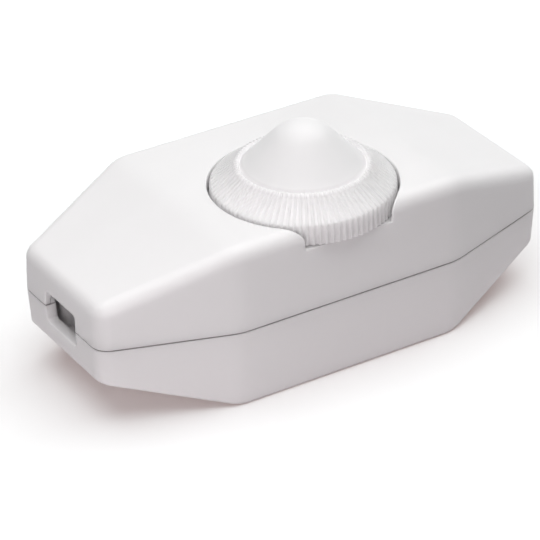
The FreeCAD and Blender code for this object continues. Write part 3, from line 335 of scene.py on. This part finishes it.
boardLaminate = {
    "colour": (0.5, 0.36, 0.2), "dull": (0.4, 0.27, 0.14), "grain": 0.9, "lay": (0.25, 1.6, 1.0),
    "fibreBand": (0.3, 0.7), "stain": 9.0, "blushBand": (0.55, 0.8), "blushShare": 0.5,
    "blushGain": 1.2, "roughness": 0.55, "sheen": 0.2, "bump": 0.4, "depth": 0.015,
}
carbonFilm = dict(
    boardLaminate, colour=(0.1, 0.09, 0.08), dull=(0.06, 0.055, 0.05), grain=0.3, stain=3.0,
    roughness=0.6, sheen=0.25, depth=0.01)
copperWinding = {
    # dull: painted shade down between the turns
    "colour": (0.66, 0.33, 0.17), "dull": (0.22, 0.09, 0.04), "metallic": 0.85, "wire": 0.5,
    "wobble": 0.4, "wobbleDetail": 1.0, "wobbleScale": 2.0, "turnBand": (0.05, 0.6),
    "stain": 2.5, "stainBand": (0.5, 0.8), "stainShare": 0.4, "stainGain": 0.75,
    "roughness": 0.32, "sheen": 0.2, "bump": 0.9, "depth": 0.12,
}
resistorLacquer = {
    "colour": (0.72, 0.58, 0.4), "ringPitch": 1.3, "ringBand": (0.88, 0.93),
    "ringOne": (0.32, 0.1, 0.05), "ringTwo": (0.75, 0.42, 0.05),
    "stain": 1.5, "poolBand": (0.35, 0.7), "poolGain": 0.86,
    "roughness": 0.42, "sheen": 0.15, "bump": 0.4, "depth": 0.02,
}
diodeLacquer = dict(
    resistorLacquer, colour=(0.2, 0.32, 0.5), ringPitch=3.6, ringOne=(0.04, 0.04, 0.05),
    ringTwo=(0.04, 0.04, 0.05), roughness=0.25)
fuseGlass = {
    "colour": (0.95, 0.97, 0.97), "dull": (0.86, 0.9, 0.9), "ior": 1.5, "lay": (0.3, 1.0, 1.0),
    "stain": 3.0, "smearBand": (0.4, 0.8), "smearShare": 0.5, "roughBand": (0.5, 0.8),
    "roughness": 0.03, "sheen": 0.12, "bump": 0.2, "depth": 0.01,
}
slotFinish["board_laminate"] = paperLaminate("phenolicPaperBoard", boardLaminate)
slotFinish["carbon_track"] = paperLaminate("carbonFilmTrack", carbonFilm)
slotFinish["copper_wire"] = woundWire("enamelledCopperTurns", copperWinding)
slotFinish["resistor_tan"] = bandedLacquer("ringedResistorLacquer", resistorLacquer)
slotFinish["diode_blue"] = bandedLacquer("blueDiodeLacquer", diodeLacquer)
slotFinish["fuse_glass"] = clearGlass("clearFuseGlass", fuseGlass)

for piece in frame["record"]["subparts"]:
    for slot in frame["nodes"][piece["node"]].material_slots:
        slot.material = slotFinish[piece["material_slot"]]
print("finishes made:", len(slotFinish))


# the knob: a turned core with moulded ribs round its rim and flank (mm, from the knob's base)
knobForm = {
    "axis": (0.0, -6.3, 27.0),
    "radius": 16.2, "rimHeight": 3.9, "ringRadius": 11.75, "flankRise": 3.4, "flankTop": 0.4,
    "bend": 0.9, "bendSteps": 3,  # rounding between rim and flank
    "footRadius": 15.7, "footBevel": 0.14,
    "crest": 7.55, "domeFoot": 10.95, "domeBase": 6.95, "domeSlope": 45.8, "capRadius": 7.1,
    "sideSteps": 6, "tipSteps": 12,
    # the hollow underneath, whose roof falls from the hub to the wall
    "wall": 1.8, "hubRadius": 5.0, "boreRadius": 3.05, "boreTop": 8.8,
    "roofAtHub": 6.8, "roofBend": (10.15, 5.1), "roofAtWall": 1.6,
    "ribCount": 90, "ribHeight": 0.42,
    # across a rib: share of half a pitch from its middle, and share of its height
    "ribSection": [(-1.0, 0.0), (-0.62, 0.0), (-0.44, 0.7), (-0.2, 1.0),
                   (0.2, 1.0), (0.44, 0.7), (0.62, 0.0), (1.0, 0.0)],
    # the ring between the ribs' ends and on them: outwards and up from ring radius and crest
    "ringValley": [(0.26, -0.66), (0.12, -0.53), (-0.05, -0.4),
                   (-0.22, -0.28), (-0.38, -0.18), (-0.5, -0.1)],
    "ringRib": [(0.22, -0.25), (0.08, -0.16), (-0.08, -0.08),
                (-0.24, -0.02), (-0.39, 0.01), (-0.5, -0.1)],
    "sewing": 0.001,  # points nearer than this become one
    "sharpFrom": 48.0,  # edges bent by more degrees stay crisp
}


# points round a corner that is rounded to a radius
def roundedCorner(before, corner, after, radius, steps):
    before, corner, after = Vector(before), Vector(corner), Vector(after)
    back = (before - corner).normalized()
    ahead = (after - corner).normalized()
    half = back.angle(ahead) / 2
    centre = corner + (back + ahead).normalized() * (radius / math.sin(half))
    start = corner + back * (radius / math.tan(half)) - centre
    end = corner + ahead * (radius / math.tan(half)) - centre
    swing = start.angle(end)
    points = []
    for step in range(steps + 1):
        part = step / steps
        spoke = start * math.sin((1 - part) * swing) + end * math.sin(part * swing)
        points.append(tuple(centre + spoke / math.sin(swing)))
    return points


# the rim and flank line at a depth under the ribs' tops
def flankLine(form, depth):
    slope = form["flankRise"] / (form["radius"] - form["ringRadius"])
    tilt = math.cos(math.atan(slope))

    def height(r):
        return form["rimHeight"] + (form["radius"] - r) * slope - depth / tilt

    rim = form["radius"] - depth
    top = form["ringRadius"] + form["flankTop"]
    turn = roundedCorner((rim, 0.0), (rim, height(rim)), (top, height(top)),
                         form["bend"] - depth, form["bendSteps"])
    return [(rim, form["footBevel"])] + turn + [(top, height(top))]


def ringLine(form, steps):
    return [(form["ringRadius"] + out, form["crest"] + up) for out, up in steps]


def meshObject(name, shape):
    mesh = bpy.data.meshes.new(name)
    shape.to_mesh(mesh)
    shape.free()
    return bpy.data.objects.new(name, mesh)


# faces strung along rows of points, each given by radius, height and turn about the axis
def weave(shape, rows, axis):
    def point(r, z, turn):
        spoke = Vector((r * math.cos(turn), r * math.sin(turn), z))
        return shape.verts.new((Vector(axis) + spoke) * mm)

    rings = []
    for row in rows:
        if row[0][0] == 0:  # a pole is one point
            rings.append([point(*row[0])] * len(row))
        else:
            rings.append([point(*place) for place in row])
    for one, two in zip(rings, rings[1:]):
        for step in range(len(one) - 1):
            corners = [one[step], one[step + 1], two[step + 1], two[step]]
            shape.faces.new(list(dict.fromkeys(corners)))


# the parts of the knob that have no ribs: its underside with the bore, and its dome
def knobCore(form):
    foot, base, cap = form["domeFoot"], form["domeBase"], form["capRadius"]
    slope = math.radians(form["domeSlope"])
    capFoot = cap * math.sin(slope)
    capBase = base + (foot - capFoot) * math.tan(slope)
    capCentre = capBase - cap * math.cos(slope)
    inside = form["radius"] - form["ribHeight"] - form["wall"]
    underside = [
        (0.0, form["boreTop"]), (form["boreRadius"], form["boreTop"]), (form["boreRadius"], 0.0),
        (form["hubRadius"], 0.0), (form["hubRadius"], form["roofAtHub"]), form["roofBend"],
        (inside, form["roofAtWall"]), (inside, 0.0), (form["footRadius"], 0.0),
    ]
    dome = ringLine(form, form["ringValley"])[-1:]
    for step in range(form["sideSteps"] + 1):
        part = step / form["sideSteps"]
        dome.append((foot + (capFoot - foot) * part, base + (capBase - base) * part))
    for step in range(1, form["tipSteps"]):
        tilt = slope * (1 - step / form["tipSteps"])
        dome.append((cap * math.sin(tilt), capCentre + cap * math.cos(tilt)))
    dome.append((0.0, capCentre + cap))
    halfPitch = math.pi / form["ribCount"]
    turns = [(2 * rib + share) * halfPitch
             for rib in range(form["ribCount"]) for share, _ in form["ribSection"][:-1]]
    turns.append(turns[0] + math.tau)
    shape = bmesh.new()
    for line in (underside, dome):
        weave(shape, [[(r, z, turn) for turn in turns] for r, z in line], form["axis"])
    return meshObject("knobCore", shape)


# one rib with half a valley each side, from the foot of the rim to the inside of the ring
def knobRib(form):
    valley = flankLine(form, form["ribHeight"]) + ringLine(form, form["ringValley"])
    crest = flankLine(form, 0.0) + ringLine(form, form["ringRib"])
    foot = (form["footRadius"], 0.0)
    halfPitch = math.pi / form["ribCount"]
    rows = []
    for low, high in [(foot, foot)] + list(zip(valley, crest)):
        rows.append([(low[0] + (high[0] - low[0]) * rise, low[1] + (high[1] - low[1]) * rise,
                      share * halfPitch) for share, rise in form["ribSection"]])
    shape = bmesh.new()
    weave(shape, rows, (0.0, 0.0, 0.0))
    return meshObject("knobRib", shape)


# ribs set evenly round an axis and sewn to the core
def ribbingTree():
    tree = bpy.data.node_groups.new("knobRibbing", "GeometryNodeTree")
    inputs = {
        "Core": "NodeSocketGeometry", "Rib": "NodeSocketObject", "Rib Count": "NodeSocketInt",
        "Knob Base": "NodeSocketVector", "Sewing Distance": "NodeSocketFloat",
        "Finish": "NodeSocketMaterial",
    }
    sockets = {}
    for name, kind in inputs.items():
        socket = tree.interface.new_socket(name=name, in_out="INPUT", socket_type=kind)
        sockets[name] = socket.identifier
    tree.interface.new_socket(name="Knob", in_out="OUTPUT", socket_type="NodeSocketGeometry")
    graph = Graph(tree)
    group = tree.nodes.new("NodeGroupInput")
    given = {name: Wire(graph, group.outputs[name]) for name in sockets}
    rib = graph.add("GeometryNodeObjectInfo", {"transform_space": "ORIGINAL"},
                    {"Object": given["Rib"]}, "Geometry")
    points = graph.add("GeometryNodePoints", None,
                       {"Count": given["Rib Count"], "Position": given["Knob Base"]})
    turn = graph.add("GeometryNodeInputIndex") * (math.tau / given["Rib Count"])
    angles = graph.add("ShaderNodeCombineXYZ", None, {"Z": turn})
    ribs = graph.add("GeometryNodeInstanceOnPoints", None,
                     {"Points": points, "Instance": rib, "Rotation": angles})
    joined = graph.add("GeometryNodeJoinGeometry", None, {"Geometry": given["Core"]})
    tree.links.new(ribs.socket, joined.socket.node.inputs["Geometry"])
    plain = graph.add("GeometryNodeRealizeInstances", None, {"Geometry": joined})
    sewn = graph.add("GeometryNodeMergeByDistance", None,
                     {"Geometry": plain, "Distance": given["Sewing Distance"]})
    smooth = graph.add("GeometryNodeSetShadeSmooth", None, {"Geometry": sewn})
    done = graph.add("GeometryNodeSetMaterial", None,
                     {"Geometry": smooth, "Material": given["Finish"]})
    graph.add("NodeGroupOutput", None, {"Knob": done})
    return tree, sockets


# the shape that an object's modifiers give, as a piece of its own with its faces outward
def plainMesh(name, source):
    evaluated = source.evaluated_get(bpy.context.evaluated_depsgraph_get())
    mesh = bpy.data.meshes.new_from_object(evaluated)
    mesh.name = name
    shape = bmesh.new()
    shape.from_mesh(mesh)
    bmesh.ops.recalc_face_normals(shape, faces=shape.faces)
    shape.to_mesh(mesh)
    shape.free()
    piece = bpy.data.objects.new(name, mesh)
    scene.collection.objects.link(piece)
    return piece


def makeKnob(form, finish):
    core = knobCore(form)
    rib = knobRib(form)
    tree, sockets = ribbingTree()
    scene.collection.objects.link(core)
    ribbing = core.modifiers.new("ribbing", "NODES")
    ribbing.node_group = tree
    ribbing[sockets["Rib"]] = rib
    ribbing[sockets["Rib Count"]] = form["ribCount"]
    ribbing[sockets["Knob Base"]] = [part * mm for part in form["axis"]]
    ribbing[sockets["Sewing Distance"]] = form["sewing"] * mm
    ribbing[sockets["Finish"]] = finish
    knob = plainMesh("knobMoulding", core)
    knob.data.set_sharp_from_angle(angle=math.radians(form["sharpFrom"]))
    core.modifiers.remove(ribbing)
    bpy.data.objects.remove(core)
    bpy.data.objects.remove(rib)
    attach(knob, "knob")
    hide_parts("dimmer_knob")
    return knob


knob = makeKnob(knobForm, slotFinish["knob_white"])
print("knob made:", len(knob.data.polygons), "faces")


# 1 for rays from the camera and for rays that reflections or clear pieces send on
def seenDirectly(graph):
    camera = graph.add("ShaderNodeLightPath", None, None, "Is Camera Ray")
    glossy = graph.add("ShaderNodeLightPath", None, None, "Is Glossy Ray")
    through = graph.add("ShaderNodeLightPath", None, None, "Is Transmission Ray")
    return camera.atLeast(glossy).atLeast(through)


# pale floor (mm): it lights the part as a bright sheet that fades to a duller table, and is seen
# as white where nothing shades it;
# near the part its glow is dim and warm, a painted warm shadow on top of the real one
floorLook = {
    "size": 6000.0, "drop": 0.02, "roughness": 0.9,
    "sheet": (0.7, 0.657, 0.673), "table": (0.3, 0.282, 0.289),
    "sheetShape": (0.75, 1.0, 1.0), "tableBand": (35.0, 95.0),
    # seen: cooled so that the lit floor still adds up to white; paintedWarmShadowGlow: painted
    # warm shadow, a dim warm glow near the part that turns white across the white band
    "seen": (0.835, 0.897, 0.91), "lift": 0.4, "paintedWarmShadowGlow": (0.4, 0.25, 0.215),
    "whiteBand": (45.0, 75.0),
}


def makeFloor(look):
    half = look["size"] / 2 * mm
    drop = -look["drop"] * mm
    corners = [(-half, -half, drop), (half, -half, drop), (half, half, drop), (-half, half, drop)]
    mesh = bpy.data.meshes.new("studioFloor")
    mesh.from_pydata(corners, [], [(0, 1, 2, 3)])
    floor = bpy.data.objects.new("studioFloor", mesh)
    scene.collection.objects.link(floor)
    finish, graph, place = newFinish("paleFloor")
    seen = seenDirectly(graph)
    away = graph.add("ShaderNodeVectorMath", {"operation": "LENGTH"},
                     {0: graph.stretch(place, look["sheetShape"])}, "Value") / mm
    bounce = graph.blend(graph.fade(away, look["tableBand"]),
                         rgba(look["sheet"]), rgba(look["table"]))
    # painted warm shadow: the floor glows dim and warm near the part and white further out
    glowWithPaintedShadow = graph.blend(graph.fade(away, look["whiteBand"]), rgba(look["paintedWarmShadowGlow"]), rgba(white))
    shader = graph.add("ShaderNodeBsdfPrincipled", None, {
        "Base Color": graph.blend(seen, bounce, rgba(look["seen"])),
        "Roughness": look["roughness"], "Specular IOR Level": 0.0,
        "Emission Color": graph.blend(seen, rgba(black), glowWithPaintedShadow), "Emission Strength": look["lift"]})
    graph.add("ShaderNodeOutputMaterial", None, {"Surface": shader})
    mesh.materials.append(finish)


# soft lamps: suns by direction and spread in degrees, boxes by place and size in metres
studio = {
    "overhead": {"towards": (0.0, 0.0, 1.0), "level": 2.48, "spread": 70.0, "tint": white},
    "rightSide": {"towards": (0.75, 0.15, 0.65), "level": 0.56, "spread": 50.0, "tint": white},
    "lowBox": {"place": (-0.12, -0.13, 0.06), "level": 0.072, "size": 0.08, "tint": warm},
    "highBox": {"place": (-0.2, -0.17, 0.3), "level": 0.08, "size": 0.2, "tint": warm},
}
boxAim = (0.0, 0.0, 0.02)  # the point that the boxes face


def makeStudio(lamps):
    world = bpy.data.worlds.new("studioSurround")
    world.use_nodes = True
    scene.world = world
    graph = Graph(world.node_tree)
    surround = graph.blend(seenDirectly(graph), rgba(black), rgba(white))
    sky = graph.add("ShaderNodeBackground", None, {"Color": surround, "Strength": 1.0})
    graph.add("ShaderNodeOutputWorld", None, {"Surface": sky})
    for name, lamp in lamps.items():
        data = bpy.data.lights.new(name, "SUN" if "towards" in lamp else "AREA")
        data.energy = lamp["level"]
        data.color = lamp["tint"]
        light = bpy.data.objects.new(name, data)
        if "towards" in lamp:
            data.angle = math.radians(lamp["spread"])
            aim = -Vector(lamp["towards"])
        else:
            data.size = lamp["size"]
            light.location = lamp["place"]
            light.visible_camera = False
            aim = Vector(boxAim) - light.location
        light.rotation_euler = aim.to_track_quat("-Z", "Y").to_euler()
        scene.collection.objects.link(light)


# the photograph's view: angles in degrees, lengths in metres, lens and sensor in mm
cameraView = {
    "azimuth": -31.154, "elevation": 30.391, "roll": -1.279, "distance": 0.565692,
    "centre": (0.0, 0.0, 0.0148), "aimRight": -0.002772, "aimUp": -0.00421,
    "lens": 214.807, "sensor": 36.0, "clipStart": 0.01,
}


def makeCamera(look):
    azimuth, elevation, roll = (
        math.radians(look[name]) for name in ("azimuth", "elevation", "roll"))
    back = Vector((math.sin(azimuth) * math.cos(elevation),
                   -math.cos(azimuth) * math.cos(elevation), math.sin(elevation)))
    right = (-back).cross(Vector((0.0, 0.0, 1.0))).normalized()
    up = right.cross(-back)
    place = (Vector(look["centre"]) + back * look["distance"]
             + right * look["aimRight"] + up * look["aimUp"])
    rightTurned = right * math.cos(roll) + up * math.sin(roll)
    upTurned = up * math.cos(roll) - right * math.sin(roll)
    turned = Matrix((rightTurned, upTurned, back)).transposed().to_4x4()
    lens = bpy.data.cameras.new("photoView")
    lens.lens = look["lens"]
    lens.sensor_width = look["sensor"]
    lens.clip_start = look["clipStart"]
    camera = bpy.data.objects.new("photoView", lens)
    camera.matrix_world = Matrix.Translation(place) @ turned
    scene.collection.objects.link(camera)
    scene.camera = camera


makeFloor(floorLook)
makeStudio(studio)
makeCamera(cameraView)
print("studio and camera set")
